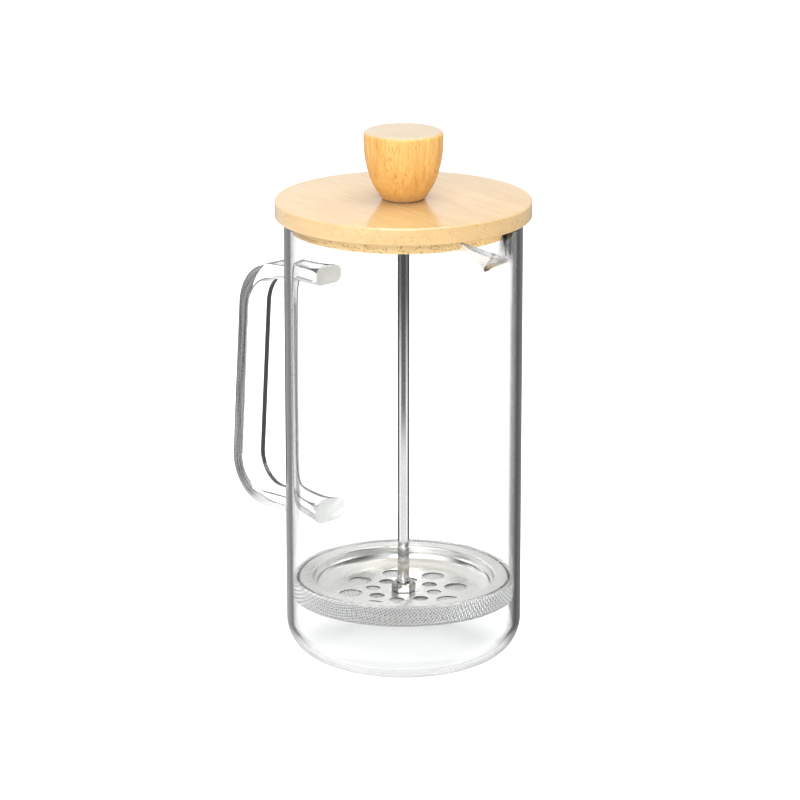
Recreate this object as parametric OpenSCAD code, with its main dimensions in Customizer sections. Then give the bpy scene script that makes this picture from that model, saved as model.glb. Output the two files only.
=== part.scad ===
// French press with a glass beaker, a fused glass handle and a bamboo lid and knob.
// Millimetres. Origin at the centre of the base, +Z up, spout towards +X, handle towards -X.
// It is drawn with the plunger pressed fully down, so the knob rests on the lid.

/* [Beaker] */
// Outer radius of the glass
glass_r = 50; // [48:0.5:52]
// Thickness of the glass wall
glass_wall = 2.5; // [2:0.1:3]
// Height of the rim above the table
glass_h = 191; // [186:1:196]
// Thickness of the base
base_t = 3; // [2.5:0.1:4]
// Outer radius of the rounded corner round the base
base_round = 16; // [12:1:20]

/* [Spout] */
// How far the tip stands out past the glass
spout_reach = 12.5; // [9:0.5:15]
// Half angle of the notch, seen from above
spout_half_angle = 15.5; // [13:0.5:18]
// Depth of the notch below the rim, at the wall
spout_depth = 14; // [11:0.5:16]
// Height of the tip below the rim
spout_tip_drop = 8; // [6:0.5:10]
// Radius of the rounded glass edge of the spout
spout_edge_r = 1.1; // [0.9:0.1:1.2]

/* [Handle] */
// Width of the strap, along Y
strap_w = 13.5; // [11:0.5:15]
// Thickness of the strap
strap_t = 6.5; // [5:0.5:7]
// Distance of the upper bend's centre from the axis
upper_bend_x = 76.6; // [72:0.1:80]
// Height of the upper bend's centre
upper_bend_z = 134.3; // [128:0.1:140]
// Centreline radius of the upper bend
upper_bend_r = 19.6; // [16:0.1:22]
// Distance of the lower bend's centre from the axis
lower_bend_x = 85; // [80:0.1:88]
// Height of the lower bend's centre
lower_bend_z = 66.2; // [60:0.1:72]
// Centreline radius of the lower bend
lower_bend_r = 16.2; // [14:0.1:18]
// Rise of the upper arm towards the glass, in degrees
upper_arm_rise = 5.7; // [0:0.1:8]
// Rise of the lower arm towards the glass, in degrees
lower_arm_rise = 2; // [0:0.1:5]
// Length over which the strap spreads to its foot on the glass
foot_reach = 12; // [12:1:16]

/* [Lid] */
// Radius of the bamboo plate
plate_r = 53.8; // [52:0.2:55]
// Thickness of the bamboo plate
plate_t = 7.3; // [6:0.1:8]
// Radius of the bamboo plug that centres the lid
plug_r = 46.8; // [45:0.1:47]
// Depth of the plug below the plate
plug_t = 5; // [4:0.1:7]
// Radius of the small rounding on the bamboo edges
bamboo_round = 0.8; // [0.4:0.1:1.2]

/* [Knob] */
// Height of the knob
knob_h = 28.9; // [26:0.1:31]
// Radius of the knob where it meets the lid
knob_base_r = 8.7; // [7.5:0.1:10]
// Largest radius of the knob, near its top
knob_top_r = 16.7; // [14:0.1:18]
// How soon the knob swells above the lid: 1 is a plain cone, more is fuller
knob_fullness = 2.8; // [1.5:0.1:4]
// Rounding round the knob's flat top
knob_round = 1.9; // [1:0.1:3]

/* [Rod] */
// Radius of the plunger rod and of its threads
rod_r = 2.5; // [2:0.1:3]
// Distance across the flats of the lock nut
nut_flats = 9; // [8:0.5:10]
// Height of the lock nut
nut_h = 4; // [3:0.1:5]

/* [Filter] */
// Outer radius of the mesh skirt
mesh_r = 47.1; // [46.6:0.1:47.2]
// Height of the filter's lowest face above the table
mesh_z = 25.9; // [23:0.1:30]
// Height of the mesh cup
mesh_h = 9.4; // [9.2:0.1:10]
// Thickness of the woven mesh
mesh_t = 0.3; // [0.2:0.1:0.4]
// Thickness of the pressure plate's sheet steel
sheet_t = 0.5; // [0.4:0.1:0.6]
// Radius of the pressure plate's flat floor
dish_floor_r = 33.5; // [30:0.5:34]
// Radius of the curve between floor and wall
dish_curve_r = 5; // [4:0.1:5.2]
// Radius of the eight small holes
small_hole_r = 3.2; // [2.5:0.1:3.5]
// Radius of the eight large holes
large_hole_r = 4.9; // [4:0.1:5.2]
// Angle that the plunger is turned to
plunger_angle = -9.4; // [-22:0.1:22]

/* [Hidden] */
$fn = 96;
eps = 0.01;

// Running and assembly clearances
rest_gap = 0.2;
turn_gap = 0.06;
slide_gap = 0.08;
thread_gap = 0.02;

// Glass
bore_r = glass_r - glass_wall;
notch_z = glass_h - spout_depth;
wall_mid_r = glass_r - spout_edge_r + 0.2;

// Handle: thickness and width of its two feet, the roundness of the corners along the strap and
// at the feet, and the sides of its faceted section
upper_foot = [8, 15.5];
lower_foot = [10, 18.5];
strap_corner = 0.4;
foot_corner = 0.65;
strap_sides = 28;

// Lid
plate_z = glass_h + rest_gap;
lid_top_z = plate_z + plate_t;
plug_z = plate_z - plug_t;

// Guide bush
bush_r = 4;
bush_flange_r = 6.5;
bush_collar_r = 5.5;
bush_flange_t = 0.8;

// Knob and its threaded insert
knob_z = lid_top_z + 0.1;
insert_r = 3.6;
insert_h = 13;
rod_top_z = knob_z + insert_h;

// Filter stack, from the bottom up
plate_floor_z = mesh_z + mesh_t + 0.3;
dish_top_z = plate_floor_z + sheet_t + 7.5;
flange_r = 45;
lip_r = 1;
nut_z = plate_floor_z + sheet_t;
cross_t = 0.8;
cross_z = mesh_z - 0.4 - cross_t;
cross_r = 40;
hub_r = 5.5;
hub_h = 4.6;
eyelet_r = 7;
eyelet_hole_r = 5;
coil_r = 3.3;
coil_ring_r = mesh_r - mesh_t - 0.3 - coil_r;
coil_z = (mesh_z + mesh_t + dish_top_z - sheet_t) / 2;
small_ring_r = 13.4;
large_ring_r = 22.8;
hole_count = 8;

glass_tint = [0.82, 0.9, 0.9, 0.4];
bamboo = [0.87, 0.7, 0.47];
bamboo_edge = [0.8, 0.6, 0.36];
steel = [0.75, 0.76, 0.77];
steel_dark = [0.6, 0.61, 0.63];
brass = [0.78, 0.62, 0.3];

// Half of a round cup's section: straight wall, rounded corner, flat bottom
module cup_section(r, corner, low, high) {
    translate([0, low]) square([r - corner, high - low]);
    translate([0, low + corner]) square([r, high - low - corner]);
    intersection() {
        translate([r - corner, low + corner]) circle(corner);
        translate([0, low]) square([r, corner]);
    }
}

// A flat ring about the Z axis
module ring(inner, outer, low, high) {
    rotate_extrude() translate([inner, low]) square([outer - inner, high - low]);
}

module glass_wall_section() {
    difference() {
        cup_section(glass_r, base_round, 0, glass_h - glass_wall / 2);
        cup_section(bore_r, base_round - glass_wall, base_t, glass_h);
    }
    translate([bore_r + glass_wall / 2, glass_h - glass_wall / 2]) circle(glass_wall / 2);
}

// The wall taken away behind the spout: a wedge that opens upwards
module spout_notch() {
    half = glass_r * sin(spout_half_angle);
    translate([glass_r - 8, 0, 0]) rotate([90, 0, 90]) linear_extrude(12)
        polygon([[0, notch_z], [half, glass_h + 1], [-half, glass_h + 1]]);
}

// One side of the spout: a thin triangle of glass with rounded edges
module spout_side(side) {
    rim = [wall_mid_r * cos(spout_half_angle), side * wall_mid_r * sin(spout_half_angle), glass_h - spout_edge_r];
    root = [wall_mid_r, 0, notch_z + 0.5];
    tip = [glass_r + spout_reach, 0, glass_h - spout_tip_drop];
    hull() for (corner = [rim, root, tip]) translate(corner) sphere(spout_edge_r, $fn = 20);
}

module glass_beaker() {
    color(glass_tint) {
        difference() {
            rotate_extrude() glass_wall_section();
            spout_notch();
        }
        for (side = [-1, 1]) spout_side(side);
    }
}

// The handle's path runs in its own plane, X away from the axis and Y up. A station is a point
// of the path, the direction square to it that faces outwards, and the distance to the glass.
function handle_stations() =
    let (
        upper = [upper_bend_x, upper_bend_z],
        lower = [lower_bend_x, lower_bend_z],
        apart = upper - lower,
        lean = atan2(-apart.x, apart.y) + asin((lower_bend_r - upper_bend_r) / norm(apart)),
        top = 90 - upper_arm_rise,
        bottom = -90 - lower_arm_rise,
        bend_steps = 10,
        foot_steps = [-2, 0, 1.5, 3, 5, 7, 9, 12]
    )
    concat(
        [for (d = foot_steps) arm_station(upper, upper_bend_r, top, d)],
        [for (i = [0:bend_steps]) bend_station(upper, upper_bend_r, top + (lean - top) * i / bend_steps)],
        [for (i = [0:bend_steps]) bend_station(lower, lower_bend_r, lean + (bottom - lean) * i / bend_steps)],
        [for (i = [len(foot_steps) - 1:-1:0]) arm_station(lower, lower_bend_r, bottom, foot_steps[i])]
    );

function bend_station(centre, r, out) = [centre + r * [cos(out), sin(out)], out, foot_reach];

// A point of an arm, at a distance from the glass, on the line that leaves the bend at angle out
function arm_station(centre, r, out, d) =
    let (start = centre + r * [cos(out), sin(out)], slope = -cos(out) / sin(out))
    [[glass_r + d, start.y + (glass_r + d - start.x) * slope], out, max(d, 0)];

// The strap spreads towards its foot on the glass
function strap_size(d, foot) = [strap_t, strap_w] + (foot - [strap_t, strap_w]) * pow(1 - d / foot_reach, 2);

// Half a side's share of a rounded rectangle: the smaller the power, the sharper its corners
function squarish(v, power) = sign(v) * pow(abs(v), power);

function strap_power(d) = strap_corner + (foot_corner - strap_corner) * pow(1 - d / foot_reach, 2);

function strap_ring(station, foot) =
    let (size = strap_size(station[2], foot), power = strap_power(station[2]), out = station[1])
    [for (i = [0:strap_sides - 1])
        let (
            a = 360 * i / strap_sides,
            u = size[0] / 2 * squarish(cos(a), power),
            v = size[1] / 2 * squarish(sin(a), power)
        )
        [station[0].x + u * cos(out), v, station[0].y + u * sin(out)]];

module glass_handle() {
    stations = handle_stations();
    count = len(stations);
    n = strap_sides;
    rings = [for (k = [0:count - 1]) strap_ring(stations[k], k < count / 2 ? upper_foot : lower_foot)];
    walls = [for (k = [0:count - 2], i = [0:n - 1]) let (j = (i + 1) % n)
        each [[k * n + i, k * n + j, (k + 1) * n + j], [k * n + i, (k + 1) * n + j, (k + 1) * n + i]]];
    start_cap = [for (i = [n - 1:-1:0]) i];
    end_cap = [for (i = [0:n - 1]) (count - 1) * n + i];
    color(glass_tint) rotate([0, 0, 180]) difference() {
        polyhedron([for (ring = rings) each ring], concat(walls, [start_cap, end_cap]));
        cylinder(r = glass_r, h = glass_h);
    }
}

// A round disc of bamboo with its outer edges eased
module bamboo_disc(r, low, high, ease_low, ease_high) {
    rotate_extrude() intersection() {
        union() {
            translate([0, low + ease_low]) square([r, high - low - ease_low - ease_high]);
            translate([0, low]) square([r - bamboo_round, high - low]);
            for (z = [low + bamboo_round, high - bamboo_round])
                translate([r - bamboo_round, z]) circle(bamboo_round, $fn = 32);
        }
        translate([0, low]) square([r, high - low]);
    }
}

module lid_plate() {
    color(bamboo) difference() {
        bamboo_disc(plate_r, plate_z, lid_top_z, bamboo_round, bamboo_round);
        translate([0, 0, plate_z - 1]) cylinder(r = bush_r + turn_gap, h = plate_t + 2);
        translate([0, 0, lid_top_z - bush_flange_t - 0.1])
            cylinder(r = bush_collar_r + turn_gap, h = bush_flange_t + 1);
    }
}

module lid_plug() {
    color(bamboo_edge) difference() {
        bamboo_disc(plug_r, plug_z, plate_z, bamboo_round, 0);
        translate([0, 0, plug_z - 1]) cylinder(r = bush_r + turn_gap, h = plug_t + 2);
    }
}

// Flanged sleeve in the lid that the rod slides through
module guide_bush() {
    low = plug_z - 0.1 - bush_flange_t;
    high = lid_top_z - 0.05;
    color(steel) {
        ring(rod_r + slide_gap, bush_r, low, high);
        ring(bush_r - eps, bush_flange_r, low, low + bush_flange_t);
        ring(bush_r - eps, bush_collar_r, high - bush_flange_t, high);
    }
}

// Outline of the knob: a swelling side, then a small rounding up to the flat top
function knob_side_r(z) = knob_top_r - (knob_top_r - knob_base_r) * pow(1 - z / knob_h, knob_fullness);

module knob() {
    steps = 24;
    shoulder = knob_h - knob_round;
    shoulder_r = knob_side_r(shoulder);
    side = [for (i = [0:steps]) let (z = shoulder * i / steps) [knob_side_r(z), z]];
    top = [for (a = [10:10:90]) [shoulder_r - knob_round * (1 - cos(a)), shoulder + knob_round * sin(a)]];
    color(bamboo) translate([0, 0, knob_z]) difference() {
        rotate_extrude() polygon(concat([[0, 0]], side, top, [[0, knob_h]]));
        translate([0, 0, -1]) cylinder(r = insert_r, h = insert_h + 3);
    }
}

module knob_insert() {
    color(brass) ring(rod_r + thread_gap, insert_r - thread_gap, knob_z + 0.4, knob_z + insert_h);
}

module plunger_rod() {
    low = cross_z - hub_h + 0.6;
    color(steel) translate([0, 0, low]) cylinder(r = rod_r, h = rod_top_z - low);
}

module lock_nut() {
    corners_r = nut_flats / 2 / cos(30);
    color(steel_dark) rotate([0, 0, plunger_angle]) difference() {
        translate([0, 0, nut_z]) intersection() {
            cylinder(r = corners_r, h = nut_h, $fn = 6);
            union() {
                cylinder(r = corners_r, h = nut_h - 0.7);
                translate([0, 0, nut_h - 0.7]) cylinder(r1 = corners_r, r2 = corners_r - 1, h = 0.7);
            }
        }
        translate([0, 0, nut_z - 1]) cylinder(r = rod_r + thread_gap, h = nut_h + 2);
    }
}

// Short sleeve on the rod above the nut
module nut_collar() {
    color(steel) ring(rod_r + thread_gap, rod_r + 0.5, nut_z + nut_h, nut_z + nut_h + 1.6);
}

// The space above the pressure plate's sheet, grown downwards by the sheet's thickness
module dish_space(grow) {
    curve_z = plate_floor_z + sheet_t + dish_curve_r;
    wall_r = dish_floor_r + dish_curve_r;
    lip_x = wall_r + lip_r;
    lip_z = dish_top_z - lip_r;
    translate([0, dish_top_z - grow]) square([flange_r + 1, 4]);
    translate([0, plate_floor_z + sheet_t - grow]) square([dish_floor_r, 12]);
    translate([0, curve_z]) square([wall_r + grow, lip_z - curve_z + eps]);
    intersection() {
        translate([dish_floor_r, curve_z]) circle(dish_curve_r + grow);
        translate([0, curve_z - dish_curve_r - grow]) square([wall_r + grow, dish_curve_r + grow]);
    }
    difference() {
        translate([0, lip_z]) square([lip_x, lip_r - grow + eps]);
        translate([lip_x, lip_z]) circle(lip_r - grow);
    }
}

module pressure_plate() {
    color(steel) difference() {
        rotate_extrude() intersection() {
            difference() {
                dish_space(sheet_t);
                dish_space(0);
            }
            translate([0, plate_floor_z - 1]) square([flange_r, dish_top_z - plate_floor_z + 1]);
        }
        translate([0, 0, plate_floor_z - 1]) cylinder(r = rod_r + 0.1, h = 3);
        for (i = [0:hole_count - 1]) {
            turn = plunger_angle + i * 360 / hole_count;
            rotate([0, 0, turn]) translate([small_ring_r, 0, plate_floor_z - 1]) cylinder(r = small_hole_r, h = 3);
            rotate([0, 0, turn + 180 / hole_count]) translate([large_ring_r, 0, plate_floor_z - 1])
                cylinder(r = large_hole_r, h = 3);
        }
    }
}

// Closed outer shape of the coil spring that presses the mesh against the glass
module spring_coil() {
    color(steel_dark) rotate_extrude() translate([coil_ring_r, coil_z]) circle(coil_r);
}

module filter_mesh() {
    fold_r = 0.9;
    fold_z = mesh_z + mesh_h - fold_r;
    color(steel) rotate_extrude() {
        difference() {
            cup_section(mesh_r, 1.5, mesh_z, fold_z);
            cup_section(mesh_r - mesh_t, 1.5 - mesh_t, mesh_z + mesh_t, fold_z + 1);
            translate([0, mesh_z - 1]) square([eyelet_hole_r, 3]);
        }
        difference() {
            translate([mesh_r - fold_r, fold_z]) circle(fold_r);
            translate([mesh_r - fold_r, fold_z]) circle(fold_r - mesh_t);
            translate([mesh_r - 2 * fold_r - 1, fold_z - 3]) square([2 * fold_r + 2, 3]);
        }
    }
}

// Pressed ring that binds the hole in the middle of the mesh
module mesh_eyelet() {
    face_t = 0.2;
    low = mesh_z - 0.05 - face_t;
    high = mesh_z + mesh_t + 0.05 + face_t;
    color(steel_dark) {
        ring(rod_r + 0.1, eyelet_hole_r - 0.1, low, high);
        ring(eyelet_hole_r - 0.2, eyelet_r, low, low + face_t);
        ring(eyelet_hole_r - 0.2, eyelet_r, high - face_t, high);
    }
}

module cross_plate() {
    rim_w = 4;
    arm_w = 9;
    disc_r = 10;
    color(steel) translate([0, 0, cross_z]) difference() {
        linear_extrude(cross_t) rotate(plunger_angle) difference() {
            circle(cross_r);
            difference() {
                circle(cross_r - rim_w);
                circle(disc_r);
                for (turn = [0, 90]) rotate(turn) square([2 * cross_r, arm_w], center = true);
            }
        }
        translate([0, 0, -1]) cylinder(r = hub_r - 1.4, h = cross_t + 2);
    }
}

// Threaded boss that draws the filter stack together
module cross_plate_hub() {
    color(steel_dark) {
        ring(rod_r + thread_gap, hub_r, cross_z - hub_h, cross_z);
        ring(rod_r + thread_gap, hub_r - 1.5, cross_z - eps, cross_z + cross_t);
    }
}

glass_beaker();
glass_handle();
lid_plate();
lid_plug();
guide_bush();
knob();
knob_insert();
plunger_rod();
lock_nut();
nut_collar();
pressure_plate();
spring_coil();
filter_mesh();
mesh_eyelet();
cross_plate();
cross_plate_hub();
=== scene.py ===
import math
import bpy
import numpy as np
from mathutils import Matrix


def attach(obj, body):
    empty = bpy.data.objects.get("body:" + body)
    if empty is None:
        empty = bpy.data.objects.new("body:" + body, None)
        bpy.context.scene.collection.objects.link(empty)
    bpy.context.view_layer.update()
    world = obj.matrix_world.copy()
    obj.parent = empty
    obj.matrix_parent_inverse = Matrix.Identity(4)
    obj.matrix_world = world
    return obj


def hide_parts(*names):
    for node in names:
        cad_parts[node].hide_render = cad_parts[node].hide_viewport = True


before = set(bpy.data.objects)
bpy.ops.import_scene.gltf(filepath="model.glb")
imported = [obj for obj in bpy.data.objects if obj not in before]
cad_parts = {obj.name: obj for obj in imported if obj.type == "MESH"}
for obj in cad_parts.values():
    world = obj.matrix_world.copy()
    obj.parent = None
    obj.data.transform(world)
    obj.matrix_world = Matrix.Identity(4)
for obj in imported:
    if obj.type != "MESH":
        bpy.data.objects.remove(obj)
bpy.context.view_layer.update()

# The look of a french press. Finer meshes stand for the CAD nodes that can be seen, and the four
# hidden ones keep their CAD shape. Named sizes are in millimetres, and MM turns them into metres.
MM = 0.001
SHARP = 35.0

# Level directions as the photo's camera sees them
SCREEN_RIGHT = (0.674, 0.738, 0)
SCREEN_LEFT = (-0.674, -0.738, 0)
TO_CAMERA = (0.738, -0.674, 0)

# More crossings of a glass surface than this, and light has passed the whole wall
PAST_WALL = 2.5

# Studio
FLOOR_HALF = 9000.0
FLOOR_DROP = 0.2
LAMP_AIM_Z = 100.0

# Beaker
GLASS_R = 50.0
WALL = 2.5
GLASS_H = 191.0
BASE_T = 3.0
CORNER_R = 16.0
SPOUT_HALF = math.radians(15.5)
SPOUT_DEPTH = 14.0
SPOUT_TIP_X = 62.9
SPOUT_TIP_Z = 183.2
STRAIGHT_TOP = 150.0
UPPER_ROWS = 30
RIM_STEPS = 7

# Handle: a bend is (x, z, radius) and a foot is (thickness, width, corner radius)
STRAP_T = 6.5
STRAP_W = 13.5
UPPER_BEND = (76.6, 134.3, 19.6)
LOWER_BEND = (85.0, 66.2, 16.2)
UPPER_RISE = 5.7
LOWER_RISE = 2.0
UPPER_FOOT = (8.0, 15.5, 3.4)
LOWER_FOOT = (10.0, 18.5, 4.2)
FOOT_REACH = 12.0
FOOT_GAP = 0.05
FOOT_STEPS = (0.05, 0.8, 1.6, 2.5, 3.5, 4.6, 5.8, 7.2, 8.7, 10.3, 12)
ARC_STEPS = 24
SPAN_STEPS = 10
CORNER_STEPS = 8
STRAP_CORNER = 0.6

# Lid and knob
PLATE_R = 53.8
PLATE_Z = 191.2
LID_TOP = 198.5
PLUG_R = 46.8
PLUG_Z = 186.2
BUSH_R = 4.0
BUSH_TOP = 198.45
BUSH_FLANGE_R = 6.5
BUSH_FLANGE_T = 0.8
BUSH_HEAD_R = 5.5
BUSH_SEAT_R = 5.56
BUSH_SEAT_DEPTH = 0.9
ROD_R = 2.5
ROD_LOW = 20.7
ROD_HIGH = 211.6
SLIDE_GAP = 0.08
TURN_GAP = 0.06
THREAD_GAP = 0.03
PLUG_GAP = 0.02
KNOB_Z = 198.6
KNOB_H = 28.9
KNOB_BASE_R = 8.7
KNOB_TOP_R = 16.7
KNOB_FULLNESS = 2.8
KNOB_ROUND = 1.9
INSERT_R = 3.6
INSERT_H = 13.0
INSERT_SPACE = 2.0

# Filter stack
MESH_R = 47.1
MESH_Z = 25.9
MESH_TOP = 35.3
FOLD_R = 0.9
PLATE_FLOOR = 27.0
SHEET_T = 0.5
DISH_TOP = 34.5
DISH_FLOOR_R = 33.5
DISH_CURVE_R = 5.0
FLANGE_R = 44.3
HOLE_COUNT = 8
SMALL_RING_R = 13.4
SMALL_HOLE_R = 3.2
LARGE_RING_R = 22.8
LARGE_HOLE_R = 4.9
HOLES_WITHIN = 30.0
COIL_RING_R = 43.2
COIL_R = 3.3
COIL_Z = 30.1
COIL_TURNS = 120
COIL_WIRE_R = 0.28
MESH_CORNER_R = 1.35
MESH_BORE_R = 5.2
FOLD_TAIL = 1.6
WEAVE_TURN = math.radians(10)
DISC_PITCH = 1.05
DISC_WIRE_R = 0.15
DISC_INSET = 0.15
DISC_REACH = 45.0
SKIRT_PITCH = 1.15
SKIRT_WIRE_R = 0.26
SKIRT_INSET = 0.46
SKIRT_START = 44.6
NUT_FLATS = 9.0
NUT_H = 4.0
NUT_CHAMFER = 0.75
NUT_BLUNT = 0.08
NUT_LEAD_IN = 0.3
NUT_STEPS = 144
COLLAR_R = 3.0
COLLAR_H = 1.6
PLUNGER_TURN = math.radians(-9.4)


# -------------------------------- meshes

def add_object(name, data):
    """A new object in the scene."""
    obj = bpy.data.objects.new(name, data)
    bpy.context.scene.collection.objects.link(obj)
    return obj


def shade_smooth(mesh, sharp):
    """Smooth shading with crisp edges where faces meet at more than an angle in degrees."""
    mesh.polygons.foreach_set("use_smooth", [True] * len(mesh.polygons))
    mesh.set_sharp_from_angle(angle=math.radians(sharp))


def add_piece(name, verts, faces, material, body, nodes, sharp=SHARP):
    """A shaded mesh from points in millimetres, riding on a body and standing for CAD nodes."""
    points = np.asarray(verts, float) * MM
    fans = np.array([(f[0], f[k], f[k + 1]) for f in faces for k in range(1, len(f) - 1)])
    a, b, c = points[fans[:, 0]], points[fans[:, 1]], points[fans[:, 2]]
    if (a * np.cross(b, c)).sum() < 0:
        faces = [f[::-1] for f in faces]
    mesh = bpy.data.meshes.new(name)
    mesh.from_pydata(points.tolist(), [], faces)
    mesh.validate()
    shade_smooth(mesh, sharp)
    mesh.materials.append(material)
    obj = add_object(name, mesh)
    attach(obj, body)
    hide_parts(*nodes)
    return obj


def fillet(corners, steps=6):
    """A polyline through (x, y, fillet radius) corners, with an arc at each inner corner."""
    points = [corners[0][:2]]
    for before, here, after in zip(corners, corners[1:], corners[2:]):
        p = np.array(here[:2], float)
        r = here[2]
        if r == 0:
            points.append(tuple(p))
            continue
        a = np.array(before[:2], float) - p
        b = np.array(after[:2], float) - p
        a /= np.linalg.norm(a)
        b /= np.linalg.norm(b)
        half = math.acos(np.clip(a @ b, -1, 1)) / 2
        centre = p + (a + b) / np.linalg.norm(a + b) * r / math.sin(half)
        start = p + a * r / math.tan(half) - centre
        end = p + b * r / math.tan(half) - centre
        turn = math.atan2(start[0] * end[1] - start[1] * end[0], start @ end)
        for k in range(steps + 1):
            c, s = math.cos(turn * k / steps), math.sin(turn * k / steps)
            points.append((centre[0] + c * start[0] - s * start[1], centre[1] + s * start[0] + c * start[1]))
    points.append(corners[-1][:2])
    return points


def lathe(profile, steps, closed=True):
    """Turns a profile of (radius, height) about Z. An open profile ends on the axis."""
    verts, rows = [], []
    for r, z in profile:
        if r < 1e-6:
            rows.append([len(verts)] * steps)
            verts.append((0, 0, z))
            continue
        rows.append(list(range(len(verts), len(verts) + steps)))
        for k in range(steps):
            a = 2 * math.pi * k / steps
            verts.append((r * math.cos(a), r * math.sin(a), z))
    faces = []
    pairs = list(zip(rows, rows[1:]))
    if closed:
        pairs.append((rows[-1], rows[0]))
    for low, high in pairs:
        for k in range(steps):
            n = (k + 1) % steps
            quad = [low[k], low[n], high[n], high[k]]
            faces.append([v for i, v in enumerate(quad) if v not in quad[:i]])
    return verts, faces


def add_turned(name, profile, steps, material, body, node, closed=True):
    """A piece turned about Z from its profile."""
    verts, faces = lathe(profile, steps, closed)
    add_piece(name, verts, faces, material, body, [node])


def loop(corners, steps=6):
    """A closed outline from corners, each with its own fillet."""
    (x0, z0, _), (x1, z1, _) = corners[0], corners[-1]
    mid = ((x0 + x1) / 2, (z0 + z1) / 2, 0)
    return fillet([mid] + list(corners) + [mid], steps)[:-1]


def sheet_loop(path, thickness):
    """Outline of bent sheet: the path offset to both sides, in order round the section."""
    p = np.array(path, float)
    d = np.gradient(p, axis=0)
    d /= np.linalg.norm(d, axis=1)[:, None]
    n = np.c_[-d[:, 1], d[:, 0]] * thickness / 2
    return [tuple(q) for q in np.r_[p + n, (p - n)[::-1]]]


def grid_faces(rings, count, closed=False):
    """Quads between rings of count points each. Closed also joins the last ring to the first."""
    faces = []
    for k in range(rings if closed else rings - 1):
        n = (k + 1) % rings
        for i in range(count):
            j = (i + 1) % count
            faces.append([k * count + i, k * count + j, n * count + j, n * count + i])
    return faces


def capped_faces(rings, count, first):
    """The faces of a tube of rings with both ends capped, from the vertex number first."""
    faces = [[first + v for v in face] for face in grid_faces(rings, count)]
    faces.append([first + i for i in range(count)][::-1])
    faces.append([first + (rings - 1) * count + i for i in range(count)])
    return faces


# -------------------------------- beaker

def beaker_columns():
    """Angles of the columns, closer together round the spout."""
    fine = np.radians(np.arange(-27, 27.01, 0.9))
    rest = np.radians(np.arange(29, 331.01, 2.0))
    return np.r_[fine, rest]


def wall_path(phi, rows):
    """Middle of the upper wall: up the cylinder, then out along the spout, whose sides are at u = 1."""
    mid_r = GLASS_R - WALL / 2
    top = GLASS_H - WALL / 2
    low = STRAIGHT_TOP
    half_y = math.sin(SPOUT_HALF)
    u = abs(math.sin(phi)) / half_y if math.cos(phi) > 0 else 2.0
    base = np.array([mid_r * math.cos(phi), mid_r * math.sin(phi), low])
    if u >= 1:
        return [base + (0, 0, (top - low) * k / (rows - 1)) for k in range(rows)]
    side = math.copysign(1, phi)
    root = np.array([mid_r, 0, GLASS_H - SPOUT_DEPTH])
    shoulder = np.array([mid_r * math.cos(SPOUT_HALF), side * mid_r * half_y, top])
    tip = np.array([SPOUT_TIP_X, 0, SPOUT_TIP_Z])
    crease = np.array([base[0], base[1], (root + (shoulder - root) * u)[2]])
    rim = tip + (shoulder - tip) * u
    rise = crease[2] - low
    reach = np.linalg.norm(rim - crease)
    points = []
    for k in range(rows):
        s = (rise + reach) * k / (rows - 1)
        if s <= rise:
            points.append(base + (0, 0, s))
        else:
            points.append(crease + (rim - crease) * (s - rise) / max(reach, 1e-9))
    return points


def relax(grid, columns, first_row, passes):
    """Rounds the creases of the spout by averaging neighbours. The rim slides only along itself."""
    for _ in range(passes):
        old = grid.copy()
        for j in columns:
            left, right = old[j - 1], old[(j + 1) % len(grid)]
            grid[j, -1] = (old[j, -1] * 2 + left[-1] + right[-1]) / 4
            beside = left[first_row:-1] + right[first_row:-1]
            mean = (beside + old[j, first_row - 1:-2] + old[j, first_row + 1:]) / 4
            grid[j, first_row:-1] = (old[j, first_row:-1] + mean) / 2
    return grid


def base_outline():
    """Middle of the glass below the straight part's top, as (radius, height, half thickness)."""
    outline = [(r, BASE_T / 2, BASE_T / 2) for r in np.linspace(4, GLASS_R - CORNER_R, 7)]
    centre_r = GLASS_R - CORNER_R
    centre_z = CORNER_R + (BASE_T - WALL) / 2
    mid = CORNER_R - WALL / 2
    for a in np.radians(np.linspace(0, 90, 17))[1:]:
        t = BASE_T / 2 + (WALL - BASE_T) / 2 * a / (math.pi / 2)
        outline.append((centre_r + mid * math.sin(a), centre_z - mid * math.cos(a), t))
    outline += [(GLASS_R - WALL / 2, z, WALL / 2) for z in np.linspace(centre_z, STRAIGHT_TOP, 9)[1:-1]]
    return outline


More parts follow.
